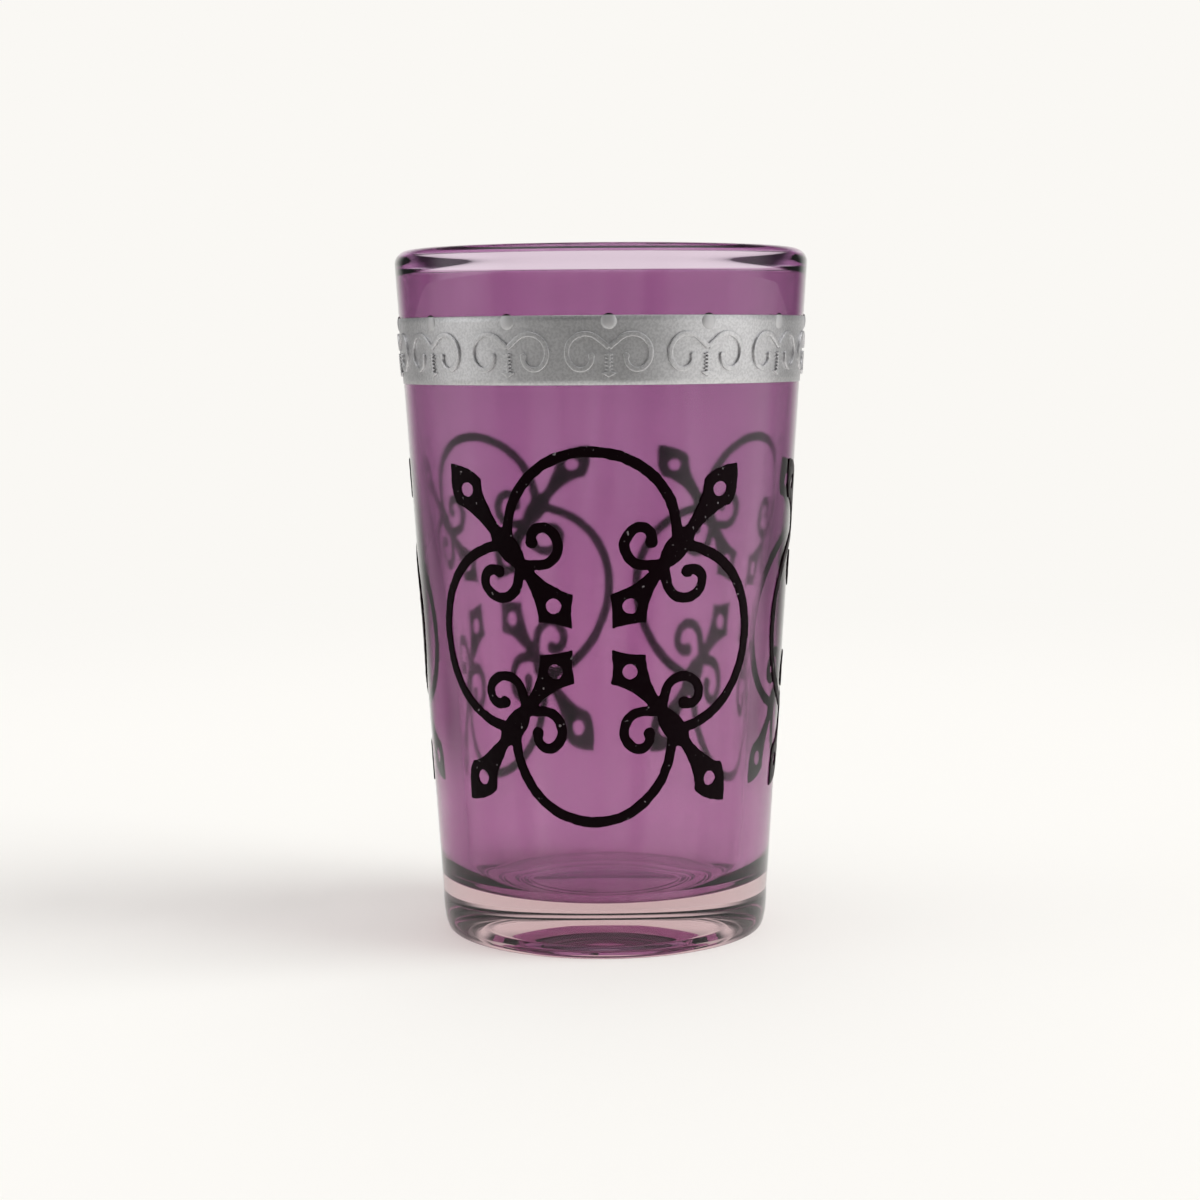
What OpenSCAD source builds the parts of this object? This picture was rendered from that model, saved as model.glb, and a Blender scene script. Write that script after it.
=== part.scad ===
// Tapered tea glass: a wall that thickens downwards to a heavy base, with a
// fire-polished lip.
// A silver band with scroll relief runs round the glass below the lip, and three
// ornaments of raised black enamel stand round its wall.
// The axis of the glass is Z, the foot stands on z = 0 and the front faces -Y.

/* [Glass] */
// Height from the foot to the top of the lip
height = 90; // [75:0.5:120]
// Diameter of the outer wall line at the height of the lip
rim_d = 54.42; // [50:0.02:62]
// Diameter of the outer wall line at the height of the foot
base_d = 43; // [38:0.02:49]
// Thickness of the lower stretch of the wall
wall_low = 3.9; // [3:0.1:4.6]
// Thickness of the upper stretch of the wall
wall_high = 1.4; // [1:0.05:1.8]
// Height at which the lower stretch of the wall ends
thick_z = 28; // [20:0.5:36]
// Height at which the upper stretch of the wall begins
thin_z = 68; // [56:0.5:70]
// Thickness of the glass under the floor of the cup
floor_t = 6.7; // [5:0.1:12]
// Width of the rounded corner between floor and wall
corner_w = 2.4; // [1.6:0.1:4]
// Height of the rounded corner between floor and wall
corner_h = 4.3; // [2:0.1:5]

/* [Lip] */
// Thickness of the lip
lip_t = 2.5; // [2.2:0.1:3]
// Width of the round on the outside of the lip
lip_out_w = 1.8; // [1:0.1:2]
// Height of the round on the outside of the lip
lip_out_h = 1.8; // [1:0.1:2.4]
// Height over which the lip thins to the wall
lip_fade_h = 3.4; // [2.8:0.1:5]

/* [Foot] */
// Height of the rounded heel
heel_h = 5; // [3:0.1:6]
// Width of the rounded heel
heel_w = 0.9; // [0.5:0.05:2]
// Radius of the hollow under the base
hollow_r = 11.5; // [9:0.1:14]
// Depth of the hollow under the base
hollow_h = 1.7; // [0.8:0.05:2.4]

/* [Silver band] */
// Height of the band's lower edge above the foot
band_z = 72.7; // [68:0.1:76]
// Height of the band
band_h = 8.5; // [7.6:0.1:10]
// Thickness of the silver layer
band_t = 0.12; // [0.08:0.01:0.3]
// Number of scroll pairs round the band
scroll_n = 13; // [6:1:13]
// Angle of the scroll pair nearest the front
scroll_turn = 1.9; // [-14:0.1:14]
// Height of the relief on the silver layer
scroll_relief = 0.15; // [0.08:0.01:0.4]
// Width of a scroll's line
scroll_line_w = 0.46; // [0.3:0.02:0.6]
// Radius of a scroll's large curve
scroll_r = 2.3; // [2:0.05:2.4]
// Radius of a scroll's small curve
scroll_end_r = 1.4; // [1:0.05:1.5]
// Height of a scroll's middle above the band's lower edge
scroll_up = 3.95; // [3.4:0.05:4.6]
// Distance of a scroll's middle from the middle of its pair
scroll_out = 2.85; // [2.7:0.05:3.1]
// Half of the width of a stem's rungs
rung_half_w = 0.5; // [0.3:0.05:0.8]
// Number of rungs on a stem
rung_n = 5; // [3:1:6]
// Half of the width of a stem's foot
stem_foot_half_w = 0.95; // [0.6:0.05:1.2]
// Radius of the dot over each scroll pair
dot_r = 1; // [0.7:0.05:1.2]
// Height of the dots above the glass
dot_relief = 0.3; // [0.15:0.01:0.6]
// How far a dot stands above the band's upper edge
dot_over = 0.25; // [0.1:0.05:0.4]

/* [Ornaments] */
// Height of the ornaments' middle above the foot
ornament_z = 41.3; // [38:0.1:43]
// Angle of the front ornament's middle
ornament_turn = -3.4; // [-30:0.1:30]
// Angle from the front ornament to each of the other two
ornament_spread = 123.5; // [112:0.5:126]
// Angle by which the other two are turned on together
ornament_skew = -4.1; // [-8:0.1:8]
// Height of the raised enamel above the glass
ornament_relief = 0.15; // [0.1:0.01:0.4]
// Distance from the middle to the line of the top and bottom lobes
lobe_reach = 23.3; // [22.5:0.1:24]
// Width of the line of the lobes
lobe_line_w = 1.35; // [0.8:0.05:1.6]
// Radius of the top lobe
top_lobe_r = 10.4; // [10:0.1:11.4]
// Radius of the bottom lobe
bottom_lobe_r = 9.8; // [9.4:0.1:10.6]
// Radius of the side lobes
side_lobe_r = 11.7; // [11.2:0.1:12.2]
// Distance of the side lobes' middles from the ornament's middle
side_lobe_out = 9.9; // [9.4:0.1:10.4]

/* [Corners of an ornament] */
// Distance of a knot from the ornament's middle, along the wall
knot_out = 10.6; // [10.4:0.1:11.2]
// Height of a knot above or below the ornament's middle
knot_up = 11.4; // [10.8:0.1:11.6]
// Length of a knot
knot_len = 6.4; // [4.6:0.1:7]
// Width of a knot
knot_w = 3; // [1.8:0.1:3.4]
// Angle between a knot's finials and the horizontal
finial_tilt = 51; // [47:0.5:54]
// Distance from a knot to the tip of its outer finial
outer_reach = 13.1; // [12.6:0.1:14]
// Half of the width of an outer finial
outer_half_w = 2.6; // [2:0.1:3]
// Distance from a knot to the tip of its inner finial
inner_reach = 13; // [12:0.1:13.4]
// Half of the width of an inner finial
inner_half_w = 2.9; // [2.2:0.1:3.3]
// Distance from a knot to the hole of its outer finial
outer_hole_out = 9; // [8.6:0.05:9.4]
// Distance from a knot to the hole of its inner finial
inner_hole_out = 9.35; // [8.8:0.05:9.6]
// Radius of a finial's hole
hole_r = 0.95; // [0.6:0.05:1.1]
// Width of the line of the curls
curl_line_w = 1.3; // [0.8:0.05:1.4]
// Radius of a curl's large curve
curl_r = 2.45; // [2.2:0.05:2.6]
// Radius of a curl's small curve
curl_end_r = 1.45; // [1.3:0.05:1.6]
// Radius of the ball at the end of a curl
curl_ball_r = 0.8; // [0.72:0.01:0.9]
// Distance of a curl's middle from the knot, along the finials
curl_back = 2.4; // [2:0.1:2.8]
// Distance of a curl's middle from the line of the finials
curl_side = 3.4; // [3.2:0.1:3.8]

/* [Hidden] */

// Smoothness of the glass and of the circles in a drawing
round_fn = 96;
line_fn = 48;
// Steps in a quarter of a round, in a free curve and in a knot's outline
round_steps = 8;
curve_steps = 6;
knot_steps = 20;
// Steps in each curve of a curl and in the stretch where the wall thins
curl_steps = 10;
wall_steps = 12;
// How far cuts run past what they cut
overrun = 1;

// Glass: radius of the outer wall and thickness of the wall at a height.
// The thickness changes smoothly between the two stretches of the wall.
function wall_r(z) = base_d / 2 + (rim_d - base_d) / 2 * z / height;
function thinning(z) = min(1, max(0, (z - thick_z) / (thin_z - thick_z)));
function wall_t(z) = wall_high + (wall_low - wall_high) * (1 + cos(180 * thinning(z))) / 2;

lip_in_w = lip_t - lip_out_w;
lip_r = wall_r(height - lip_out_h) - lip_out_w;
lip_fade_z = height - lip_in_w;
lip_extra = wall_r(lip_fade_z) - wall_t(lip_fade_z) - lip_r + lip_in_w;
corner_z = floor_t + corner_h;
corner_r = wall_r(corner_z) - wall_t(corner_z) - corner_w;
hollow_sag_r = (hollow_r * hollow_r + hollow_h * hollow_h) / (2 * hollow_h);

// A quarter of an oval: its middle, half its width and height, first and last angle
function quarter(c, a, b, from, to) = [
    for (i = [0:round_steps])
    let (t = from + (to - from) * i / round_steps)
    [c[0] + a * cos(t), c[1] + b * sin(t)]
];
// The inside of the lip thins smoothly to the wall
function lip_fade() = [
    for (i = [1:round_steps])
    let (s = i / round_steps)
    let (z = lip_fade_z - (lip_fade_h - lip_in_w) * s)
    [wall_r(z) - wall_t(z) - lip_extra * (1 + cos(180 * s)) / 2, z]
];
function hollow() = [
    for (i = [0:round_steps])
    let (r = hollow_r * i / round_steps)
    [r, hollow_h - hollow_sag_r + sqrt(hollow_sag_r * hollow_sag_r - r * r)]
];
// The inside of the wall where its thickness changes
function wall_fade() = [
    for (i = [0:wall_steps])
    let (z = thin_z + (thick_z - thin_z) * i / wall_steps)
    [wall_r(z) - wall_t(z), z]
];
function without_first(points) = [for (i = [1:len(points) - 1]) points[i]];
function glass_profile() = concat(
    hollow(),
    quarter([wall_r(heel_h) - heel_w, heel_h], heel_w, heel_h, -90, 0),
    quarter([lip_r, height - lip_out_h], lip_out_w, lip_out_h, 0, 90),
    without_first(quarter([lip_r, lip_fade_z], lip_in_w, lip_in_w, 90, 180)),
    lip_fade(),
    wall_fade(),
    quarter([corner_r, corner_z], corner_w, corner_h, 0, -90),
    [[0, floor_t]]
);
module glass_body() {
    color([0.62, 0.40, 0.57, 0.55])
        rotate_extrude($fn = round_fn)
            polygon(glass_profile());
}

// A layer on the outside of the wall between two heights.
// It lies between two distances from the wall.
module wall_layer(z0, z1, from, to) {
    rotate_extrude($fn = round_fn)
        polygon([
            [wall_r(z0) + from, z0],
            [wall_r(z0) + to, z0],
            [wall_r(z1) + to, z1],
            [wall_r(z1) + from, z1]
        ]);
}
// Carries a flat drawing straight out through the wall at an angle round the axis.
// The drawing's x runs along the wall and its y runs upwards from height z.
module through_wall(angle, z) {
    rotate([0, 0, angle])
        translate([0, -base_d / 4, z])
            rotate([90, 0, 0])
                linear_extrude(height = rim_d / 2)
                    children();
}

// The places along part of a circle, each with the direction out of its middle
function toward(a) = [cos(a), sin(a)];
function turned_line(c, r, from, to, first) = [
    for (i = [first:curl_steps])
    let (a = from + (to - from) * i / curl_steps)
    [c + r * toward(a), a]
];
// The same line moved sideways, and a list turned round
function beside(line, side) = [for (p = line) p[0] + side * toward(p[1])];
function reversed(points) = [for (i = [len(points) - 1:-1:0]) points[i]];
// A line of even width along part of a circle round the origin
module arc_line(r, from, to, w) {
    steps = ceil((to - from) / 45);
    intersection() {
        difference() {
            circle(r = r + w / 2, $fn = line_fn);
            circle(r = r - w / 2, $fn = line_fn);
        }
        polygon(concat([[0, 0]], [
            for (i = [0:steps])
            let (a = from + (to - from) * i / steps)
            2 * r * toward(a)
        ]));
    }
}
// A curl: a straight lead, a large curve, a small curve and a ball.
// It turns left round middle c, from the first angle over the second to the third.
module curl(c, r, end_r, angles, lead, w, ball_r) {
    end_c = c + (r - end_r) * toward(angles[1]);
    line = concat(
        [[c + r * toward(angles[0]) - lead * toward(angles[0] + 90), angles[0]]],
        turned_line(c, r, angles[0], angles[1], 0),
        turned_line(end_c, end_r, angles[1], angles[2], 1)
    );
    polygon(concat(beside(line, w / 2), reversed(beside(line, -w / 2))));
    translate(end_c + end_r * toward(angles[2]))
        circle(r = ball_r, $fn = line_fn);
}

// Silver band: its relief stands on the silver, and its dots on the glass
band_top = band_z + band_h;
relief_top = band_t + scroll_relief;
scroll_angles = [50, 225, 370];
scroll_lead = (scroll_out - scroll_r * cos(scroll_angles[0])) / sin(scroll_angles[0]);
scroll_meet = scroll_up + scroll_r * sin(scroll_angles[0])
    - scroll_lead * cos(scroll_angles[0]);
scroll_ball_share = 0.65;
scroll_ball_r = scroll_ball_share * scroll_line_w;
stem_top = scroll_meet - scroll_line_w;
stem_foot_top_share = 0.38;
stem_foot_tip_share = 0.24;
stem_foot_top = stem_foot_top_share * stem_top;
stem_foot_tip = stem_foot_tip_share * stem_top;
stem_w_share = 0.3;
stem_half_w = stem_w_share * rung_half_w;
last_rung_share = 0.5;
rung_step = (stem_top - stem_foot_top) / (rung_n + last_rung_share);
rung_h_share = 0.45;
rung_h = rung_h_share * rung_step;
dot_z = band_top + dot_over - dot_r;

module each_pair() {
    for (i = [0:scroll_n - 1])
        rotate([0, 0, scroll_turn + 360 * i / scroll_n])
            children();
}
module dot_pegs() {
    each_pair()
        through_wall(0, dot_z)
            circle(r = dot_r, $fn = line_fn);
}
module silver_band() {
    color([0.64, 0.64, 0.65])
        difference() {
            wall_layer(band_z, band_top, 0, band_t);
            dot_pegs();
        }
}
module half_scroll() {
    curl(
        [-scroll_out, scroll_up], scroll_r, scroll_end_r, scroll_angles,
        scroll_lead, scroll_line_w, scroll_ball_r
    );
}
module band_scrolls() {
    color([0.70, 0.70, 0.71])
        intersection() {
            wall_layer(band_z, band_top, band_t, relief_top);
            each_pair()
                through_wall(0, band_z) {
                    half_scroll();
                    mirror([1, 0])
                        half_scroll();
                }
        }
}
module stem() {
    translate([-stem_half_w, stem_foot_top])
        square([2 * stem_half_w, stem_top - stem_foot_top]);
    for (i = [1:rung_n])
        translate([-rung_half_w, stem_foot_top + i * rung_step - rung_h / 2])
            square([2 * rung_half_w, rung_h]);
    polygon([
        [-stem_foot_half_w, stem_foot_top],
        [0, stem_foot_tip],
        [stem_foot_half_w, stem_foot_top],
        [0, stem_foot_top + rung_h]
    ]);
}
module band_stems() {
    color([0.70, 0.70, 0.71])
        intersection() {
            wall_layer(band_z, band_top, band_t, relief_top);
            each_pair()
                through_wall(0, band_z)
                    stem();
        }
}
module band_dots() {
    color([0.20, 0.19, 0.20])
        intersection() {
            wall_layer(dot_z - dot_r - overrun, dot_z + dot_r + overrun, 0, dot_relief);
            dot_pegs();
        }
}

// Ornaments: places along the wall are turned into angles round the axis
ornament_r = wall_r(ornament_z);
function turn_of(along) = along / ornament_r * 180 / PI;
side_turn = turn_of(side_lobe_out + side_lobe_r / 2);
side_shift = ornament_r * sin(side_turn - turn_of(side_lobe_out));
side_lobe_end = 87;
leg_turn = 8;
leg_w_share = 0.9;
curl_angles = [140, 290, 430];
curl_lead = (curl_side - curl_r * sin(curl_angles[0])) / -cos(curl_angles[0]);
// A finial's outline in shares of its reach and of half its width:
// tip, pull of the tip's side, corner, pull of the flare, end in the knot
outer_shares = [[1, 0], [0.8, 1.04], [0.65, 1], [0.54, 0.38], [0.1, 0.25]];
inner_shares = [[1, 0], [0.83, 0.5], [0.75, 1], [0.53, 0.19], [0.1, 0.22]];

// A curve between two points, drawn towards a third, without its last point
function curve(p, pull, q) = [
    for (i = [0:curve_steps - 1])
    let (t = i / curve_steps)
    p * (1 - t) * (1 - t) + pull * 2 * t * (1 - t) + q * t * t
];
// A finial that points along x from its knot, with its hole
module finial(reach, half_w, hole_out, shares) {
    p = [for (s = shares) [s[0] * reach, s[1] * half_w]];
    half = concat(curve(p[0], p[1], p[2]), curve(p[2], p[3], p[4]), [p[4]]);
    other = [for (i = [len(half) - 1:-1:1]) [half[i][0], -half[i][1]]];
    difference() {
        polygon(concat(half, other));
        translate([hole_out, 0])
            circle(r = hole_r, $fn = line_fn);
    }
}
// The knot where two lobes meet, with its finials and curls.
// The outer finial points along x.
module corner() {
    polygon([
        for (i = [0:knot_steps - 1])
        let (t = 360 * i / knot_steps)
        [knot_len / 2 * cos(t), knot_w / 2 * sin(t)]
    ]);
    finial(outer_reach, outer_half_w, outer_hole_out, outer_shares);
    rotate(180)
        finial(inner_reach, inner_half_w, inner_hole_out, inner_shares);
    for (side = [0, 1])
        mirror([0, side])
            curl(
                [-curl_back, -curl_side], curl_r, curl_end_r, curl_angles,
                curl_lead, curl_line_w, curl_ball_r
            );
}
// The width of the wall's curve at a knot, seen from an angle round the axis
function knot_x(up, from) =
    wall_r(ornament_z + up * knot_up) * sin(turn_of(knot_out) - from);
// A knot's finials keep their angle to the horizontal as the wall narrows
function tilt(up) =
    atan(tan(finial_tilt) * ornament_r / wall_r(ornament_z + up * knot_up));
// A straight stretch of a lobe's line
module leg(p, q) {
    w = leg_w_share * lobe_line_w;
    translate(p)
        rotate(atan2(q[1] - p[1], q[0] - p[0]))
            translate([0, -w / 2])
                square([norm(q - p), w]);
}
// A lobe is part of a circle, and a leg joins each end of it to its knot
module lobe(c, r, from, to, knots) {
    translate(c)
        arc_line(r, from, to, lobe_line_w);
    leg(c + r * toward(from + leg_turn), knots[0]);
    leg(c + r * toward(to - leg_turn), knots[1]);
}
module ornament() {
    intersection() {
        wall_layer(
            ornament_z - lobe_reach - lobe_line_w,
            ornament_z + lobe_reach + lobe_line_w,
            0, ornament_relief
        );
        union() {
            through_wall(0, ornament_z) {
                lobe(
                    [0, lobe_reach - top_lobe_r], top_lobe_r, 0, 180,
                    [[knot_x(1, 0), knot_up], [-knot_x(1, 0), knot_up]]
                );
                lobe(
                    [0, bottom_lobe_r - lobe_reach], bottom_lobe_r, 180, 360,
                    [[-knot_x(-1, 0), -knot_up], [knot_x(-1, 0), -knot_up]]
                );
            }
            for (way = [-1, 1]) {
                through_wall(way * side_turn, ornament_z)
                    mirror([1 - way, 0])
                        lobe(
                            [-side_shift, 0], side_lobe_r, -side_lobe_end, side_lobe_end,
                            [
                                [knot_x(-1, side_turn), -knot_up],
                                [knot_x(1, side_turn), knot_up]
                            ]
                        );
                for (up = [-1, 1])
                    through_wall(way * turn_of(knot_out), ornament_z + up * knot_up)
                        rotate(up * (90 - way * (90 - tilt(up))))
                            corner();
            }
        }
    }
}
module ornament_front() {
    color([0.08, 0.07, 0.08])
        rotate([0, 0, ornament_turn])
            ornament();
}
module ornament_right() {
    color([0.08, 0.07, 0.08])
        rotate([0, 0, ornament_turn + ornament_skew + ornament_spread])
            ornament();
}
module ornament_left() {
    color([0.08, 0.07, 0.08])
        rotate([0, 0, ornament_turn + ornament_skew - ornament_spread])
            ornament();
}

glass_body();
silver_band();
band_scrolls();
band_stems();
band_dots();
ornament_front();
ornament_right();
ornament_left();
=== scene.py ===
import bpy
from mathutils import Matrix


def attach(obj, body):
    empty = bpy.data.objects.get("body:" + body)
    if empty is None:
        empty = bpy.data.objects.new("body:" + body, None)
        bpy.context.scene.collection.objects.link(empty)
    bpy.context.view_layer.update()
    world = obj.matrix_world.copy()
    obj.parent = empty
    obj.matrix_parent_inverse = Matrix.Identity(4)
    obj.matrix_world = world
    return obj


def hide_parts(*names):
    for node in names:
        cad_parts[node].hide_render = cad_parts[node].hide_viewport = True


bl_info = {
    "name": "Tea glass",
    "version": (1, 0, 0),
    "blender": (4, 5, 0),
    "location": "3D View > Sidebar > Tea glass",
    "description": "Builds a tapered tea glass with a silver band and raised enamel ornaments",
    "category": "Object",
}

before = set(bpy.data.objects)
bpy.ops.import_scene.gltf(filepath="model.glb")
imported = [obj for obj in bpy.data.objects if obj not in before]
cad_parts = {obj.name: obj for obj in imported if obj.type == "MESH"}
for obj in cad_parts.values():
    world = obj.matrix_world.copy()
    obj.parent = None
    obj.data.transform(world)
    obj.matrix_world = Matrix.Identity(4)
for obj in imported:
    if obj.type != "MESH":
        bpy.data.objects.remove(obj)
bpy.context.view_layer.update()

import math

import bpy
from bpy.props import FloatProperty, FloatVectorProperty, IntProperty, PointerProperty
from mathutils import Matrix, Vector, noise

MM = 0.001

# Steps along each stretch of the glass's outline
UNDER_STEPS = 72
WALL_STEPS = 28
ROUND_STEPS = 14
LIP_STEPS = 8
CORNER_STEPS = 18

# Rings of the cup's floor, as shares of its radius
FLOOR_SHARES = (0.8, 0.6, 0.4, 0.2, 0.05)

# The fine rings under the base: their places and their reach in hollow radii, and their width
RIDGE_SHARES = (0.92, 1.03, 1.27)
RIDGE_REACH = 1.4
RIDGE_W = 0.4 * MM

# How far the flat foot stops before the heel
FOOT_GAP = 0.4 * MM

# How deep the layers on the glass are sunk into its wall
SUNK = 0.03 * MM

# How near a cut a dot's corner counts as lying on it, far less than its lowest ring's height
CUT_NEAR = 0.001 * MM

# The silver layer: how far its edges are softened, and the steps of its height
SOFT_EDGE = 0.06 * MM
BAND_STEPS = 12

# A melted piece: the size of its voxels and the rounds of smoothing
SCROLL_MELT = (0.07 * MM, 4)
STEM_MELT = (0.06 * MM, 2)
ORNAMENT_MELT = (0.13 * MM, 5)

# Angles in degrees at which the curves of a band scroll and of an ornament's curl begin and end
SCROLL_ANGLES = (50, 225, 370)
CURL_ANGLES = (140, 290, 430)

# Steps along a curl's large curve, its small curve and the outline of its ball
CURVE_STEPS = 24
END_STEPS = 18
BALL_STEPS = 24

# A stem, as shares of its height: its foot's top and tip; and its width as a share of a rung's
STEM_FOOT = 0.38
STEM_TIP = 0.24
STEM_W = 0.3
RUNG_SHARE = 0.45

# Half thickness of the flat ornament before it is laid on the wall
SLAB_T = 0.3 * MM

# The ornament's lobes: where their lines begin and end, in degrees, and the steps along them
TOP_ARC = (-5, 185)
BOTTOM_ARC = (175, 365)
SIDE_ARC = (-87, 87)
LOBE_STEPS = 48

# Finials: shares of reach and half width, from the tip to the knot
OUTER_SHARES = ((1, 0), (0.8, 1.04), (0.65, 1), (0.54, 0.38), (0.1, 0.25))
INNER_SHARES = ((1, 0), (0.83, 0.5), (0.75, 1), (0.53, 0.19), (0.1, 0.22))

# Hand-laid enamel: how fine its wandering is, with each share of it, how much its height
# varies, how far apart the three ornaments' patterns are taken, and the noise's seed
HAND_GRAINS = ((450, 0.5), (1300, 0.5))
HAND_LIFT = 0.2
HAND_APART = 0.1
HAND_SEED = 1

# Colours of the finishes
CLEAR = (1, 1, 1)
CLOUDED = (0.99, 0.975, 0.98)
BARE_GLASS = (0.87, 0.74, 0.88)
SILVER_BACK = (0.06, 0.045, 0.055)
# Light specks on the enamel are painted glints that stand in for reflections on tiny bubbles
PAINTED_GLINT = (0.20, 0.18, 0.19)
THROUGH_GLASS = (0.95, 0.94, 0.945)
THROUGH_STAIN = (0.9, 0.89, 0.9)

# The stain: how its edge slopes towards the back, how soft it is, and the heights, as shares
# of the glass's, between which the lower tint turns into the upper one
STAIN_SLOPE = 0.0315
STAIN_SOFT = 0.12 * MM
STAIN_CHANGE = (0.38, 0.66)

# The silver: how metallic it is, and how near the wall its back begins
METAL = 0.85
SILVER_NEAR = 0.02 * MM

# How softly the silver over a dot ends
SILVER_SOFT = 0.1 * MM

# The floor: how far it lies under the foot, and the distances, in metres, over which it turns
# into the backdrop and over which what the glass mirrors of it darkens
FLOOR_DROP = 0.02 * MM
FLOOR_FADE = (0.16, 0.42)
MIRROR_FADE = (0.08, 0.16)

# Where the light lies, as ranges of a direction's share towards the back, the sides and above
FLOOR_BEHIND = (0.6, 0.9)
FLOOR_BEHIND_MIRRORED = (0.74, 0.95)
FLOOR_FRONT = (0.2, 0.5)
ROOM_BEHIND = (0.62, 0.9)
ROOM_BEHIND_MIRRORED = (0.78, 0.96)
ROOM_FRONT = (0.0, 0.4)
RIGHT = (0.5, 0.85)
LEFT = (0.75, 0.97)
ABOVE = (0.7, 0.95)

# The lamp: the direction that it shines from, and how wide it is in degrees
KEY_FROM = (0.80, -0.14, 0.72)
KEY_ANGLE = 34

# The camera: the width of its sensor and its lens, in millimetres
SENSOR_W = 36
LENS = 72


def length(name, description, millimetres):
    return FloatProperty(
        name=name, description=description, default=millimetres * MM, unit="LENGTH", precision=5
    )


def angle(name, description, degrees):
    return FloatProperty(
        name=name, description=description, default=math.radians(degrees), unit="ROTATION"
    )


def colour(name, description, rgb):
    return FloatVectorProperty(
        name=name, description=description, default=rgb, subtype="COLOR", size=3, min=0, max=1
    )


def share(name, description, value):
    return FloatProperty(name=name, description=description, default=value, min=0, max=2)


class GlassSettings(bpy.types.PropertyGroup):
    height: length("Height", "Height from the foot to the top of the lip", 90)
    rim_d: length("Rim diameter", "Diameter of the outer wall line at the lip", 54.42)
    base_d: length("Base diameter", "Diameter of the outer wall line at the foot", 43)
    wall_low: length("Wall below", "Thickness of the lower wall", 3.9)
    wall_high: length("Wall above", "Thickness of the upper wall", 1.4)
    thick_z: length("Thick wall", "Height up to which the wall is thick", 28)
    thin_z: length("Thin wall", "Height from which the wall is thin", 68)
    floor_t: length("Floor", "Thickness of the glass under the floor of the cup", 6.7)
    corner_w: length("Corner width", "Width of the round between floor and wall", 2.4)
    corner_h: length("Corner height", "Height of the round between floor and wall", 4.3)
    lip_t: length("Lip", "Thickness of the lip", 2.5)
    lip_out_w: length("Lip round width", "Width of the round outside the lip", 1.8)
    lip_out_h: length("Lip round height", "Height of the round outside the lip", 1.8)
    lip_fade_h: length("Lip height", "Height over which the lip thins to the wall", 3.4)
    heel_h: length("Heel height", "Height of the rounded heel", 5)
    heel_w: length("Heel width", "Width of the rounded heel", 0.9)
    hollow_r: length("Hollow radius", "Radius of the hollow under the base", 11.5)
    hollow_h: length("Hollow depth", "Depth of the hollow under the base", 1.7)
    ridge_h: length("Ridge", "Height of the fine rings round the hollow", 0.3)
    segments: IntProperty(name="Segments", description="Segments round the glass", default=256)
    stain: colour("Stain", "Light that the stain lets through once", (0.618, 0.352, 0.572))
    stain_top: length("Stain edge", "Height of the stain's edge on the axis", 87.55)
    stain_depth: length("Stain depth", "How deep the stain lies under the inner surface", 0.06)
    lip_over: length("Lip edge", "Height of the stained edge on top of the lip", 0.8)
    stain_above: colour("Stain above", "Light the upper stain lets through", (0.558, 0.308, 0.520))
    haze: share("Haze", "Roughness of the stained inner wall", 0.09)
    body: colour("Body", "Colour of the glass itself, for its density", (0.485, 0.075, 0.125))
    density: FloatProperty(name="Density", description="Density of the body's colour", default=20)


class BandSettings(bpy.types.PropertyGroup):
    band_z: length("Lower edge", "Height of the band's lower edge", 72.7)
    band_h: length("Height", "Height of the band", 8.5)
    band_t: length("Layer", "Thickness of the silver layer", 0.06)
    count: IntProperty(name="Scroll pairs", description="Scroll pairs round the band", default=13)
    turn: angle("Turn", "Angle of the scroll pair nearest the front", 1.9)
    relief: length("Relief", "Height of the relief on the silver", 0.3)
    line_w: length("Line", "Width of a scroll's line", 0.62)
    scroll_r: length("Large curve", "Radius of a scroll's large curve", 2.3)
    end_r: length("Small curve", "Radius of a scroll's small curve", 1.4)
    scroll_up: length("Scroll height", "Height of a scroll's middle above the edge", 3.95)
    scroll_out: length("Scroll distance", "Distance of a scroll's middle from its pair's", 2.85)
    rung_half_w: length("Rung", "Half of the width of a stem's rungs", 0.5)
    rungs: IntProperty(name="Rungs", description="Rungs on a stem", default=5)
    foot_half_w: length("Stem foot", "Half of the width of a stem's foot", 0.95)
    dot_r: length("Dot", "Radius of a dot", 1)
    dot_relief: length("Dot height", "Height of a dot above the glass", 0.3)
    dot_over: length("Dot overlap", "How far a dot stands above the band", 0.25)
    silver: colour("Silver", "Colour of the silver", (0.61, 0.607, 0.617))


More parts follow.
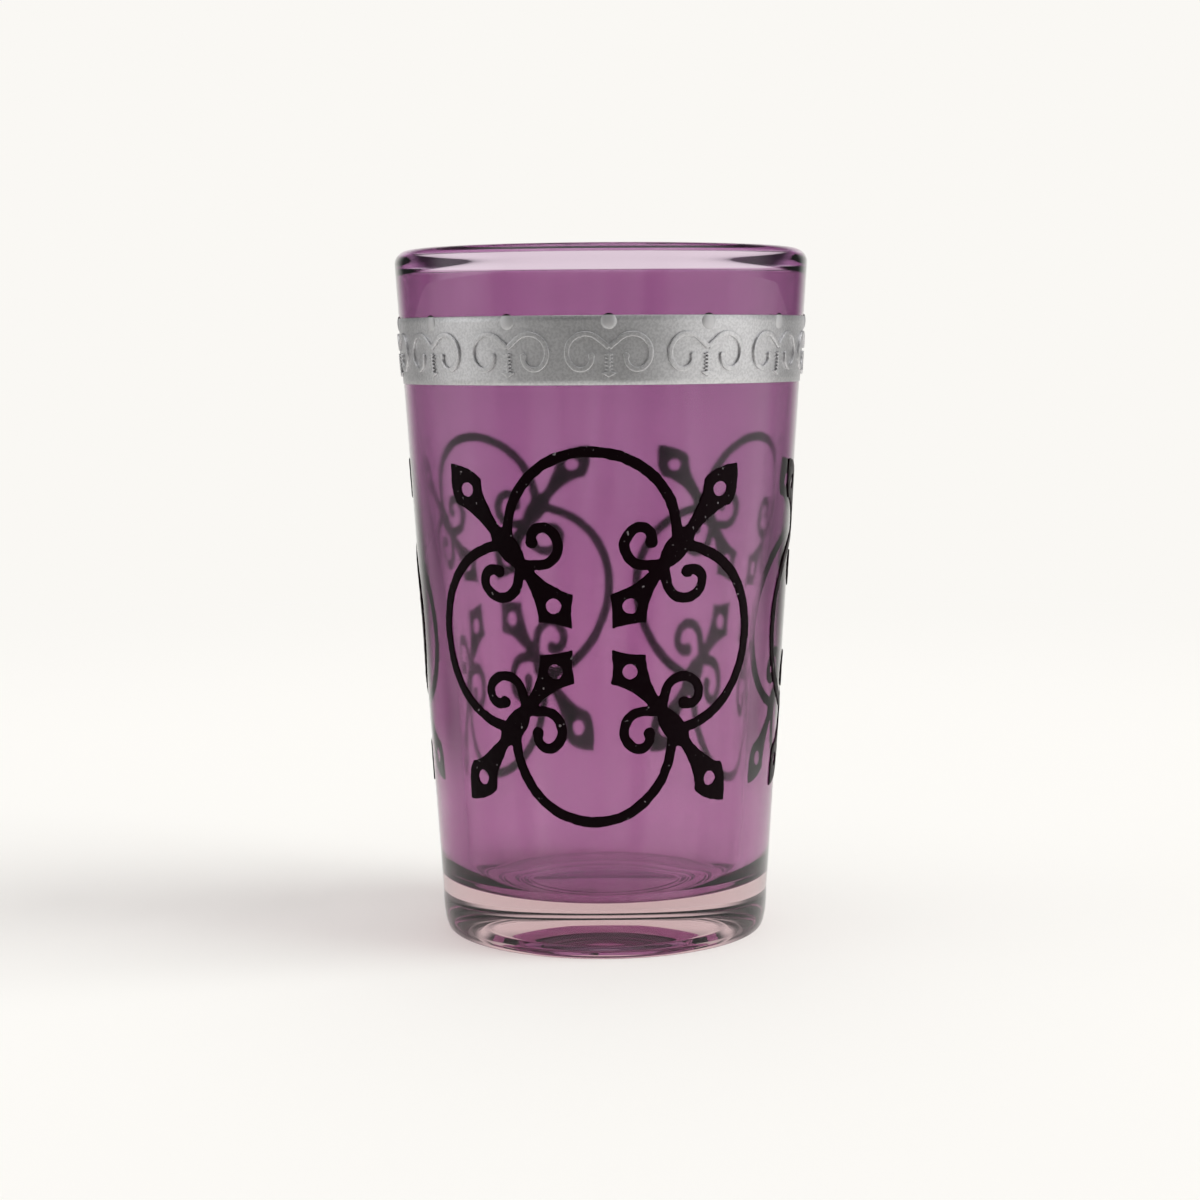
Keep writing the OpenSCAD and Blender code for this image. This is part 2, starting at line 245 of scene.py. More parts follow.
class OrnamentSettings(bpy.types.PropertyGroup):
    middle_z: length("Middle", "Height of the ornaments' middle", 41.3)
    turn: angle("Turn", "Angle of the front ornament", -3.4)
    spread: angle("Spread", "Angle from the front ornament to the others", 123.5)
    skew: angle("Skew", "How far the others are turned on", -4.1)
    relief: length("Relief", "Height of the enamel above the glass", 0.15)
    reach: length("Reach", "Distance from the middle to the top and bottom lobes", 23.3)
    line_w: length("Line", "Width of the lobes' line", 1.35)
    top_r: length("Top lobe", "Radius of the top lobe", 10.5)
    bottom_r: length("Bottom lobe", "Radius of the bottom lobe", 10.4)
    side_r: length("Side lobes", "Radius of the side lobes", 11.7)
    side_out: length("Side distance", "Distance of the side lobes' middles", 9.9)
    knot_out: length("Knot distance", "Distance of a knot from the middle", 10.6)
    knot_up: length("Knot height", "Height of a knot above or below the middle", 11.4)
    knot_len: length("Knot length", "Length of a knot", 6.4)
    knot_w: length("Knot width", "Width of a knot", 3)
    tilt: angle("Tilt", "Angle between finials and the horizontal", 51)
    outer_reach: length("Outer finial", "Distance from a knot to an outer tip", 13.1)
    outer_half_w: length("Outer half width", "Half of an outer finial's width", 2.6)
    outer_hole: length("Outer hole", "Distance from a knot to an outer hole", 9)
    inner_reach: length("Inner finial", "Distance from a knot to an inner tip", 13)
    inner_half_w: length("Inner half width", "Half of an inner finial's width", 2.9)
    inner_hole: length("Inner hole", "Distance from a knot to an inner hole", 9.35)
    hole_r: length("Hole", "Radius of a finial's hole", 0.95)
    curl_line_w: length("Curl line", "Width of a curl's line", 1.3)
    curl_r: length("Curl", "Radius of a curl's large curve", 2.45)
    curl_end_r: length("Curl end", "Radius of a curl's small curve", 1.45)
    ball_r: length("Ball", "Radius of the ball that ends a curl", 0.8)
    curl_back: length("Curl back", "Distance of a curl from the knot, inwards", 2.4)
    curl_side: length("Curl side", "Distance of a curl from the finials' line", 3.4)
    wander: length("Wander", "How far the hand-laid edges wander", 0.16)
    enamel: colour("Enamel", "Colour of the enamel", (0.0045, 0.0012, 0.0024))


class StageSettings(bpy.types.PropertyGroup):
    backdrop: colour("Backdrop", "Colour of the floor and the background", (0.956, 0.939, 0.905))
    floor_r: length("Floor", "Radius of the floor", 2200)
    camera_x: length("Camera X", "Camera position", -0.42)
    camera_y: length("Camera Y", "Camera position", -319.3)
    camera_z: length("Camera Z", "Camera position", 77.49)
    pitch: angle("Pitch", "How far the camera looks down", 6.048)
    roll: angle("Roll", "How far the camera leans", 0.410)
    key: share("Key", "Strength of the light from the right", 1.65)


def settings():
    """The settings of the glass, band, ornaments and stage, called g, b, o and s below."""
    scene = bpy.context.scene
    return scene.teaglass_glass, scene.teaglass_band, scene.teaglass_ornament, scene.teaglass_stage


# Shader sums


class Value:
    """A shader value that takes part in ordinary sums."""

    def __init__(self, shader, socket):
        self.shader, self.socket = shader, socket

    def sum(self, operation, other):
        node = self.shader.add("ShaderNodeMath", {"operation": operation}, {0: self, 1: other})
        return Value(self.shader, node.outputs[0])

    def __add__(self, other):
        return self.sum("ADD", other)

    __radd__ = __add__

    def __mul__(self, other):
        return self.sum("MULTIPLY", other)

    __rmul__ = __mul__

    def __sub__(self, other):
        return self.sum("SUBTRACT", other)

    def __rsub__(self, other):
        return (self * -1).sum("ADD", other)

    def __truediv__(self, other):
        return self.sum("DIVIDE", other)

    def __pow__(self, other):
        return self.sum("POWER", other)

    def above(self, limit):
        return self.sum("GREATER_THAN", limit)

    def below(self, limit):
        return self.sum("LESS_THAN", limit)

    def step(self, low, high):
        """0 below low, 1 above high, smooth between."""
        node = self.shader.add(
            "ShaderNodeMapRange",
            {"interpolation_type": "SMOOTHSTEP"},
            {"Value": self, "From Min": low, "From Max": high},
        )
        return Value(self.shader, node.outputs[0])


class Shader:
    """The node tree of a material or of the world. Any node comes from add."""

    def __init__(self, owner):
        owner.use_nodes = True
        self.owner, self.tree = owner, owner.node_tree
        self.tree.nodes.clear()

    def add(self, kind, options=None, inputs=None):
        node = self.tree.nodes.new(kind)
        for key, value in (options or {}).items():
            setattr(node, key, value)
        for key, value in (inputs or {}).items():
            socket = node.inputs[key]
            if isinstance(value, Value):
                self.tree.links.new(value.socket, socket)
            elif isinstance(value, bpy.types.NodeSocket):
                self.tree.links.new(value, socket)
            else:
                if isinstance(value, (tuple, list)) and len(value) == 3 and socket.type == "RGBA":
                    value = (*value, 1)
                socket.default_value = value
        return node

    def place(self, kind="Object"):
        """Coordinates as a vector and three values."""
        point = self.add("ShaderNodeTexCoord").outputs[kind]
        split = self.add("ShaderNodeSeparateXYZ", inputs={0: point})
        return point, *(Value(self, split.outputs[i]) for i in range(3))

    def noise(self, point, scale, detail, stretch=(1, 1, 1)):
        """Noise with about scale spots a metre; a low stretch draws them out along an axis."""
        moved = self.add("ShaderNodeMapping", inputs={"Vector": point, "Scale": stretch})
        node = self.add(
            "ShaderNodeTexNoise",
            inputs={"Vector": moved.outputs[0], "Scale": scale, "Detail": detail},
        )
        return Value(self, node.outputs[0])

    def mix(self, factor, first, second):
        node = self.add("ShaderNodeMix", {"data_type": "RGBA"}, {0: factor, 6: first, 7: second})
        return node.outputs[2]

    def blend(self, factor, first, second):
        node = self.add("ShaderNodeMixShader", inputs={0: factor, 1: first, 2: second})
        return node.outputs[0]

    def bump(self, strength, distance, height):
        node = self.add(
            "ShaderNodeBump", inputs={"Strength": strength, "Distance": distance, "Height": height}
        )
        return node.outputs[0]

    def finish(self, surface, kind="ShaderNodeOutputMaterial", volume=None):
        output = self.add(kind, inputs={"Surface": surface})
        if volume is not None:
            self.tree.links.new(volume, output.inputs["Volume"])
        return self.owner


# The glass's shape


class Shape:
    """The outline of the glass, in metres."""

    def __init__(self, g):
        self.g = g

    def wall_r(self, z):
        """Radius of the outer wall line at a height."""
        return (self.g.base_d + (self.g.rim_d - self.g.base_d) * z / self.g.height) / 2

    def wall_t(self, z):
        """Thickness of the wall at a height: thick below, thin above, smooth between."""
        g = self.g
        thinning = min(1, max(0, (z - g.thick_z) / (g.thin_z - g.thick_z)))
        return g.wall_high + (g.wall_low - g.wall_high) * (1 + math.cos(math.pi * thinning)) / 2

    def quarter(self, middle, a, b, start, end, steps):
        """Points of an ellipse, a wide and b high, from start to end in degrees."""
        points = []
        for i in range(steps + 1):
            t = math.radians(start + (end - start) * i / steps)
            points.append((middle[0] + a * math.cos(t), middle[1] + b * math.sin(t)))
        return points

    def under(self, r):
        """Height of the underside: a domed hollow with fine rings in it and round it."""
        g = self.g
        sag_r = (g.hollow_r**2 + g.hollow_h**2) / (2 * g.hollow_h)
        z = g.hollow_h - sag_r + math.sqrt(sag_r**2 - r**2) if r < g.hollow_r else 0
        for place in RIDGE_SHARES:
            z += g.ridge_h * math.exp(-(((r - place * g.hollow_r) / RIDGE_W) ** 2))
        return z

    def rings(self):
        """The outline from the middle of the foot, up the outside and down the inside."""
        g = self.g
        lip_in_w = g.lip_t - g.lip_out_w
        lip_z = g.height - g.lip_out_h
        lip_r = self.wall_r(lip_z) - g.lip_out_w
        fade_z = g.height - lip_in_w
        extra = self.wall_r(fade_z) - self.wall_t(fade_z) - lip_r + lip_in_w
        points = []
        for i in range(1, UNDER_STEPS + 1):
            r = RIDGE_REACH * g.hollow_r * i / UNDER_STEPS
            points.append((r, self.under(r)))
        heel = (self.wall_r(g.heel_h) - g.heel_w, g.heel_h)
        points.append((heel[0] - FOOT_GAP, 0))
        points += self.quarter(heel, g.heel_w, g.heel_h, -90, 0, ROUND_STEPS)
        for i in range(1, WALL_STEPS):
            z = g.heel_h + (lip_z - g.heel_h) * i / WALL_STEPS
            points.append((self.wall_r(z), z))
        points += self.quarter((lip_r, lip_z), g.lip_out_w, g.lip_out_h, 0, 90, ROUND_STEPS)
        points += self.quarter((lip_r, fade_z), lip_in_w, lip_in_w, 90, 180, LIP_STEPS)[1:]
        low = g.height - g.lip_fade_h
        for i in range(1, ROUND_STEPS + 1):
            z = fade_z + (low - fade_z) * i / ROUND_STEPS
            more = extra * (1 + math.cos(math.pi * i / ROUND_STEPS)) / 2
            points.append((self.wall_r(z) - self.wall_t(z) - more, z))
        corner_z = g.floor_t + g.corner_h
        for i in range(1, WALL_STEPS):
            z = low + (corner_z - low) * i / WALL_STEPS
            points.append((self.wall_r(z) - self.wall_t(z), z))
        corner_r = self.wall_r(corner_z) - self.wall_t(corner_z) - g.corner_w
        points += self.quarter((corner_r, corner_z), g.corner_w, g.corner_h, 0, -90, CORNER_STEPS)
        for place in FLOOR_SHARES:
            points.append((corner_r * place, g.floor_t))
        return points

    def inner_rings(self, over, depth):
        """The outline from the middle of the floor up and a little way over the lip, set back."""
        g = self.g
        inner = []
        for p in self.rings()[::-1]:
            if p[1] < g.height - over and inner and p[0] > self.wall_r(p[1]) - 0.5 * g.wall_high:
                break
            inner.append(p)
        rings = []
        last = len(inner) - 1
        for i, (r, z) in enumerate(inner):
            (r0, z0), (r1, z1) = inner[max(i - 1, 0)], inner[min(i + 1, last)]
            run = math.hypot(r1 - r0, z1 - z0)
            rings.append((r + depth * (z1 - z0) / run, z - depth * (r1 - r0) / run))
        return rings


# Modelling


def deselect():
    if bpy.context.object is not None and bpy.context.object.mode != "OBJECT":
        bpy.ops.object.mode_set(mode="OBJECT")
    bpy.ops.object.select_all(action="DESELECT")


def activate(*pieces):
    deselect()
    for piece in pieces:
        piece.select_set(True)
    bpy.context.view_layer.objects.active = pieces[0]
    return pieces[0]


def lathe(name, rings, segments, capped=False, bowl=False):
    """A ring is added and drawn along the outline, one extrusion a step.

    capped closes both ends, and bowl closes only the first.
    """
    deselect()
    radius, height = rings[0]
    bpy.ops.mesh.primitive_circle_add(vertices=segments, radius=radius, location=(0, 0, height))
    piece = bpy.context.object
    piece.name = name
    bpy.ops.object.transform_apply(location=True, rotation=True, scale=True)
    bpy.ops.object.mode_set(mode="EDIT")
    bpy.ops.mesh.select_mode(type="EDGE")
    bpy.ops.mesh.select_all(action="SELECT")
    if capped or bowl:
        bpy.ops.mesh.extrude_edges_move()
        bpy.ops.mesh.merge(type="CENTER")
        bpy.ops.mesh.select_all(action="DESELECT")
        bpy.ops.mesh.select_non_manifold()
    for next_radius, next_height in rings[1:]:
        bpy.ops.mesh.extrude_edges_move(
            TRANSFORM_OT_translate={"value": (0, 0, next_height - height)}
        )
        factor = next_radius / radius
        bpy.ops.transform.resize(value=(factor, factor, 1), center_override=(0, 0, next_height))
        radius, height = next_radius, next_height
    if capped:
        bpy.ops.mesh.extrude_edges_move()
        bpy.ops.mesh.merge(type="CENTER")
    elif not bowl:
        bpy.ops.mesh.select_all(action="SELECT")
        bpy.ops.mesh.remove_doubles(threshold=1e-6)
    bpy.ops.mesh.select_all(action="SELECT")
    bpy.ops.mesh.normals_make_consistent(inside=False)
    bpy.ops.object.mode_set(mode="OBJECT")
    bpy.ops.object.shade_smooth()
    return piece


def slab(outline, thickness):
    """A flat drawing as a slab: a disc of as many corners, drawn to the outline and extruded."""
    deselect()
    bpy.ops.mesh.primitive_circle_add(vertices=len(outline), radius=MM, fill_type="NGON")
    piece = bpy.context.object
    for vertex, (x, y) in zip(piece.data.vertices, outline):
        vertex.co = (x, y, -thickness)
    bpy.ops.object.mode_set(mode="EDIT")
    bpy.ops.mesh.select_all(action="SELECT")
    bpy.ops.mesh.extrude_region_move(TRANSFORM_OT_translate={"value": (0, 0, 2 * thickness)})
    bpy.ops.mesh.select_all(action="SELECT")
    bpy.ops.mesh.normals_make_consistent(inside=False)
    bpy.ops.object.mode_set(mode="OBJECT")
    return piece


def drill(piece, x, radius, thickness):
    """Cuts a round hole through a slab."""
    deselect()
    bpy.ops.mesh.primitive_cylinder_add(
        vertices=40, radius=radius, depth=6 * thickness, location=(x, 0, 0)
    )
    cutter = bpy.context.object
    activate(piece)
    cut = piece.modifiers.new("Hole", "BOOLEAN")
    cut.operation, cut.solver, cut.object = "DIFFERENCE", "EXACT", cutter
    bpy.ops.object.modifier_apply(modifier=cut.name)
    bpy.data.objects.remove(cutter)
    return piece


def join(name, pieces):
    activate(*pieces)
    bpy.ops.object.join()
    piece = bpy.context.object
    piece.name = name
    return piece


def copy(piece, name):
    twin = piece.copy()
    twin.data = piece.data.copy()
    twin.name = name
    bpy.context.scene.collection.objects.link(twin)
    return twin


def placed(piece, matrix):
    """Moves a piece's mesh and turns its faces out again where the move mirrored it."""
    piece.data.transform(matrix)
    if matrix.determinant() < 0:
        piece.data.flip_normals()
    return piece


def melt(piece, voxel, rounds, cut_at):
    """Melts overlapping slabs into one, rounds it and presses it flat below cut_at."""
    activate(piece)
    remesh = piece.modifiers.new("Melt", "REMESH")
    remesh.mode, remesh.voxel_size, remesh.adaptivity = "VOXEL", voxel, 0
    bpy.ops.object.modifier_apply(modifier=remesh.name)
    smooth = piece.modifiers.new("Round", "SMOOTH")
    smooth.factor, smooth.iterations = 0.5, rounds
    bpy.ops.object.modifier_apply(modifier=smooth.name)
    bpy.ops.object.mode_set(mode="EDIT")
    bpy.ops.mesh.select_all(action="SELECT")
    bpy.ops.mesh.bisect(plane_co=(0, 0, cut_at), plane_no=(0, 0, 1))
    bpy.ops.mesh.select_all(action="DESELECT")
    bpy.ops.object.mode_set(mode="OBJECT")
    for vertex in piece.data.vertices:
        vertex.select = vertex.co.z < cut_at + 1e-8
    bpy.ops.object.mode_set(mode="EDIT")
    bpy.ops.transform.resize(value=(1, 1, 0), center_override=(0, 0, cut_at))
    bpy.ops.mesh.remove_doubles(threshold=0.25 * voxel)
    bpy.ops.object.mode_set(mode="OBJECT")
    bpy.ops.object.shade_smooth()
    return piece


def wrap(piece, shape, turn, middle_z, base, sunk, reference_r, hand=None):
    """Lays a flat piece round the wall: its x runs round, its y upwards and its z outwards.

    hand is how far a hand-laid edge wanders and a seed for where it does.
    """
    for vertex in piece.data.vertices:
        x, y, z = vertex.co
        lift = z - base
        if hand is not None:
            wander, seed = hand
            for grain, part in HAND_GRAINS:
                dx, dy, dz = noise.noise_vector(Vector((x, y, seed)) * grain)
                x, y = x + wander * part * dx, y + wander * part * dy
                lift *= 1 + HAND_LIFT * dz
        height = middle_z + y
        radius = shape.wall_r(height) + (lift if lift > 1e-7 else -sunk)
        bearing = turn + x / reference_r
        vertex.co = (radius * math.sin(bearing), -radius * math.cos(bearing), height)
    return piece


def toward(degrees):
    t = math.radians(degrees)
    return Vector((math.cos(t), math.sin(t)))


def arc(middle, radius, start, end, steps):
    turns = [start + (end - start) * i / steps for i in range(steps + 1)]
    return [Vector(middle) + radius * toward(turn) for turn in turns]


def stroke(points, width):
    """The outline of a line of even width along points."""
    left, right = [], []
    last = len(points) - 1
    for i, point in enumerate(points):
        along = (points[min(i + 1, last)] - points[max(i - 1, 0)]).normalized()
        across = Vector((-along.y, along.x)) * width / 2
        left.append(point + across)
        right.append(point - across)
    return [tuple(p) for p in left + right[::-1]]


def curl_pieces(middle, radius, end_radius, angles, lead, width, ball_r, thickness):
    """A straight lead, a large curve, a small curve and a ball at the end."""
    middle = Vector(middle)
    start = middle + radius * toward(angles[0]) - lead * toward(angles[0] + 90)
    inner = middle + (radius - end_radius) * toward(angles[1])
    line = [start] + arc(middle, radius, angles[0], angles[1], CURVE_STEPS)
    line += arc(inner, end_radius, angles[1], angles[2], END_STEPS)[1:]
    ball = arc(inner + end_radius * toward(angles[2]), ball_r, 0, 360, BALL_STEPS)[:-1]
    return [slab(stroke(line, width), thickness), slab([tuple(p) for p in ball], thickness)]


def bent(p, pull, q, steps=8):
    """Points from p up to, not with, q along a curve that pull draws to one side."""
    points = []
    for i in range(steps):
        t = i / steps
        points.append(p * (1 - t) ** 2 + pull * 2 * t * (1 - t) + q * t**2)
    return points


def finial(reach, half_w, hole_x, hole_r, shares, thickness):
    """A leaf with a hole, from a knot at the origin to its tip along x."""
    p = [Vector((a * reach, b * half_w)) for a, b in shares]
    half = bent(p[0], p[1], p[2]) + bent(p[2], p[3], p[4]) + [p[4]]
    other = [Vector((q.x, -q.y)) for q in half[:0:-1]]
    piece = slab([tuple(q) for q in half + other], thickness)
    return drill(piece, hole_x, hole_r, thickness)


# Finishes


def light_passes(shader, seen, through_tint):
    """Lets the lamps shine through, and the eye and mirrors see the real shader."""
    through = shader.add("ShaderNodeBsdfTransparent", inputs={"Color": through_tint}).outputs[0]
    path = shader.add("ShaderNodeLightPath")
    diffuse = shader.blend(path.outputs["Is Diffuse Ray"], seen, through)
    return shader.blend(path.outputs["Is Shadow Ray"], diffuse, through)


def reflected(shader):
    """Two values: 1 for light reflected inside the glass, and 1 for light reflected outside it."""
    path = shader.add("ShaderNodeLightPath")
    through = Value(shader, path.outputs["Transmission Depth"])
    bounces = Value(shader, path.outputs["Ray Depth"]) - through
    straight = Value(shader, path.outputs["Is Diffuse Ray"]).below(0.5)
    mirrored = bounces.above(0.5) * straight
    inside = mirrored * through.above(0.5)
    return inside, mirrored - inside


def glass_finish(g):
    """Clear glass with a faint colour of its own, slightly rough where it is stained."""
    shader = Shader(bpy.data.materials.new("tinted_glass"))
    point, x, y, z = shader.place()
    radius = (x * x + y * y) ** 0.5
    slope = (g.rim_d - g.base_d) / (2 * g.height)
    middle_wall = z * slope + (g.base_d / 2 - g.wall_high / 2)
    inside = radius.below(middle_wall) * z.above(g.floor_t + g.corner_h)
    stained = inside * (1 - z.step(g.stain_top - MM, g.stain_top))
    clouds = shader.noise(point, scale=60, detail=2)
    waves = shader.noise(point, scale=90, detail=1, stretch=(1, 1, 0.25))
    seen = shader.add(
        "ShaderNodeBsdfPrincipled",
        inputs={
            "Base Color": shader.mix(clouds, CLEAR, CLOUDED),
            "Roughness": stained * g.haze,
            "IOR": 1.5,
            "Transmission Weight": 1.0,
            "Normal": shader.bump(0.15, 0.05 * MM, waves),
        },
    ).outputs[0]
    body = shader.add(
        "ShaderNodeVolumeAbsorption", inputs={"Color": tuple(g.body), "Density": g.density}
    )
    return shader.finish(light_passes(shader, seen, THROUGH_GLASS), volume=body.outputs[0])


def stain_finish(g):
    """The mauve stain: a tint without a surface of its own, thinner in places.

    It stops below the lip along a straight edge that slopes a little towards the back, and
    begins again on top of the lip.
    """
    shader = Shader(bpy.data.materials.new("mauve_stain"))
    point, _, y, z = shader.place()
    edge = z - y * STAIN_SLOPE
    bare = edge.step(g.stain_top - STAIN_SOFT, g.stain_top + STAIN_SOFT)
    bare = bare * (1 - z.step(g.height - g.lip_over, g.height - 0.6 * g.lip_over))
    streaks = shader.noise(point, scale=420, detail=2, stretch=(1, 1, 0.03)).step(0.3, 0.7)
    runs = shader.noise(point, scale=150, detail=1, stretch=(1, 1, 0.02)).step(0.42, 0.58)
    high = z.step(*(change * g.height for change in STAIN_CHANGE))
    tint = shader.mix(high, tuple(g.stain), tuple(g.stain_above))
    tint = shader.mix(streaks * 0.05 + runs * 0.10, tint, CLEAR)
    tint = shader.mix(bare, tint, BARE_GLASS)
    film = shader.add("ShaderNodeBsdfTransparent", inputs={"Color": tint})
    return shader.finish(light_passes(shader, film.outputs[0], THROUGH_STAIN))


def silver_finish(name, base, g):
    """Matte silver with a fine grain outside, and dark where it is seen through the glass."""
    shader = Shader(bpy.data.materials.new(name))
    point, x, y, z = shader.place()
    wall = z * ((g.rim_d - g.base_d) / (2 * g.height)) + g.base_d / 2
    inner = ((x * x + y * y) ** 0.5).below(wall + SILVER_NEAR)
    grain = shader.noise(point, scale=3200, detail=2)
    cloud = shader.noise(point, scale=160, detail=3)
    lighter = tuple(min(1, 1.3 * c) for c in base)
    tint = shader.mix(grain.step(0.35, 0.65) * 0.7 + 0.3 * cloud.step(0.3, 0.7), base, lighter)
    seen = shader.add(
        "ShaderNodeBsdfPrincipled",
        inputs={
            "Base Color": shader.mix(inner, tint, SILVER_BACK),
            "Metallic": METAL - METAL * inner,
            "Roughness": 0.36 + 0.12 * cloud,
            "Normal": shader.bump(0.35, 0.02 * MM, grain),
        },
    )
    return shader.finish(seen.outputs[0])


def enamel_finish(name, base, silver=None, silver_below=0.0):
    """Black enamel with fine specks of painted glint, and with silver over it below silver_below,
    if given.
    """
    shader = Shader(bpy.data.materials.new(name))
    point, _, _, z = shader.place()
    # Painted glints: light specks in the enamel's colour stand in for reflections on tiny bubbles
    glint_specks = shader.noise(point, scale=1500, detail=2)
    cloud = shader.noise(point, scale=300, detail=3)
    inputs = {
        "Base Color": shader.mix(glint_specks.step(0.70, 0.76), base, PAINTED_GLINT),
        "Roughness": 0.22 + 0.2 * cloud,
        "Normal": shader.bump(0.4, 0.06 * MM, cloud),
        "Specular IOR Level": 0.04,
    }
    if silver is not None:
        covered = 1 - z.step(silver_below - SILVER_SOFT, silver_below + SILVER_SOFT)
        inputs["Base Color"] = shader.mix(covered, inputs["Base Color"], silver)
        inputs["Roughness"] = inputs["Roughness"] + covered * 0.25
        inputs["Metallic"] = covered * METAL
    seen = shader.add("ShaderNodeBsdfPrincipled", inputs=inputs)
    return shader.finish(seen.outputs[0])


def dress(piece, material, slot, *nodes):
    piece.data.materials.clear()
    piece.data.materials.append(material)
    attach(piece, "root")
    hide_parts(*nodes)
    return piece


# Operators


class TEAGLASS_OT_glass(bpy.types.Operator):
    """Model the glass: wall, base, heel and lip in one"""

    bl_idname = "teaglass.glass"
    bl_label = "Glass"

    def execute(self, context):
        g, _, _, _ = settings()
        shape = Shape(g)
        piece = lathe("glass", shape.rings(), g.segments, capped=True)
        dress(piece, glass_finish(g), "tinted_glass", "glass_body")
        film = lathe("stain", shape.inner_rings(g.lip_over, g.stain_depth), g.segments, bowl=True)
        dress(film, stain_finish(g), "tinted_glass")
        return {"FINISHED"}


class TEAGLASS_OT_band(bpy.types.Operator):
    """Model the silver layer of the band"""

    bl_idname = "teaglass.band"
    bl_label = "Silver band"

    def execute(self, context):
        g, b, _, _ = settings()
        shape = Shape(g)
        low, top = b.band_z, b.band_z + b.band_h
        edge = b.band_t - SOFT_EDGE
        rings = [(shape.wall_r(low) - SUNK, low), (shape.wall_r(low) + edge, low)]
        for i in range(BAND_STEPS + 1):
            z = low + SOFT_EDGE + (top - low - 2 * SOFT_EDGE) * i / BAND_STEPS
            rings.append((shape.wall_r(z) + b.band_t, z))
        rings += [(shape.wall_r(top) + edge, top), (shape.wall_r(top) - SUNK, top)]
        rings.append(rings[0])
        piece = lathe("silver_layer", rings, g.segments)
        dress(piece, silver_finish("silver", tuple(b.silver), g), "silver", "silver_band")
        return {"FINISHED"}


def round_the_band(name, pair, b):
    """Copies a scroll pair's piece to each place round the band and joins the copies."""
    pieces = [pair]
    for i in range(1, b.count):
        twin = copy(pair, name)
        placed(twin, Matrix.Rotation(2 * math.pi * i / b.count, 4, "Z"))
        pieces.append(twin)
    return join(name, pieces)


class TEAGLASS_OT_relief(bpy.types.Operator):
    """Model the scrolls and stems that stand on the band"""

    bl_idname = "teaglass.relief"
    bl_label = "Band relief"

    def execute(self, context):
        g, b, _, _ = settings()
        shape = Shape(g)
        start = math.radians(SCROLL_ANGLES[0])
        lead = (b.scroll_out - b.scroll_r * math.cos(start)) / math.sin(start)
        meet = b.scroll_up + b.scroll_r * math.sin(start) - lead * math.cos(start)
        base = 0.5 * b.relief
        full = base + b.relief
        middle = (-b.scroll_out, b.scroll_up)
        ball_r = 0.65 * b.line_w
        parts = curl_pieces(
            middle, b.scroll_r, b.end_r, SCROLL_ANGLES, lead, b.line_w, ball_r, full
        )
        for part in list(parts):
            parts.append(placed(copy(part, "half"), Matrix.Scale(-1, 4, (1, 0, 0))))
        finish = silver_finish("silver_relief", tuple(b.silver), g)
        on_band = (b.turn, b.band_z, base - b.band_t, -0.8 * b.band_t)
        reference = shape.wall_r(b.band_z + b.scroll_up)
        scrolls = melt(join("scrolls", parts), *SCROLL_MELT, base)
        wrap(scrolls, shape, *on_band, reference)
        scrolls = round_the_band("scrolls", scrolls, b)
        dress(scrolls, finish, "silver_relief", "band_scrolls")

        top = meet - b.line_w
        foot_top, foot_tip = STEM_FOOT * top, STEM_TIP * top
        step = (top - foot_top) / (b.rungs + 0.5)
        rung_h, half = RUNG_SHARE * step, STEM_W * b.rung_half_w
        parts = [slab([(-half, foot_top), (half, foot_top), (half, top), (-half, top)], full)]
        w = b.rung_half_w
        for i in range(1, b.rungs + 1):
            low = foot_top + i * step - rung_h / 2
            parts.append(slab([(-w, low), (w, low), (w, low + rung_h), (-w, low + rung_h)], full))
        w = b.foot_half_w
        foot = [(-w, foot_top), (0, foot_tip), (w, foot_top), (0, foot_top + rung_h)]
        parts.append(slab(foot, full))
        stems = melt(join("stems", parts), *STEM_MELT, base)
        wrap(stems, shape, *on_band, reference)
        stems = round_the_band("stems", stems, b)
        dress(stems, finish, "silver_relief", "band_stems")
        return {"FINISHED"}


class TEAGLASS_OT_dots(bpy.types.Operator):
    """Model the raised dots at the band's upper edge"""

    bl_idname = "teaglass.dots"
    bl_label = "Band dots"

    def execute(self, context):
        g, b, o, _ = settings()
        shape = Shape(g)
        top = b.band_z + b.band_h
        middle = top + b.dot_over - b.dot_r
        deselect()
        bpy.ops.mesh.primitive_uv_sphere_add(segments=40, ring_count=24, radius=b.dot_r)
        dot = bpy.context.object
        bpy.ops.object.mode_set(mode="EDIT")
        bpy.ops.mesh.select_all(action="SELECT")
        bpy.ops.transform.resize(value=(1, 1, b.dot_relief / b.dot_r))
        bpy.ops.mesh.bisect(
            plane_co=(0, 0, 0), plane_no=(0, 0, 1), use_fill=True, clear_inner=True,
            threshold=CUT_NEAR,
        )
        bpy.ops.object.mode_set(mode="OBJECT")
        bpy.ops.object.shade_smooth()
        wrap(dot, shape, b.turn, middle, 0, SUNK, shape.wall_r(middle))
        dots = round_the_band("dots", dot, b)
        silver = tuple(1.15 * c for c in b.silver)
        finish = enamel_finish("dark_silver", tuple(o.enamel), silver, top)
        dress(dots, finish, "dark_silver", "band_dots")
        return {"FINISHED"}


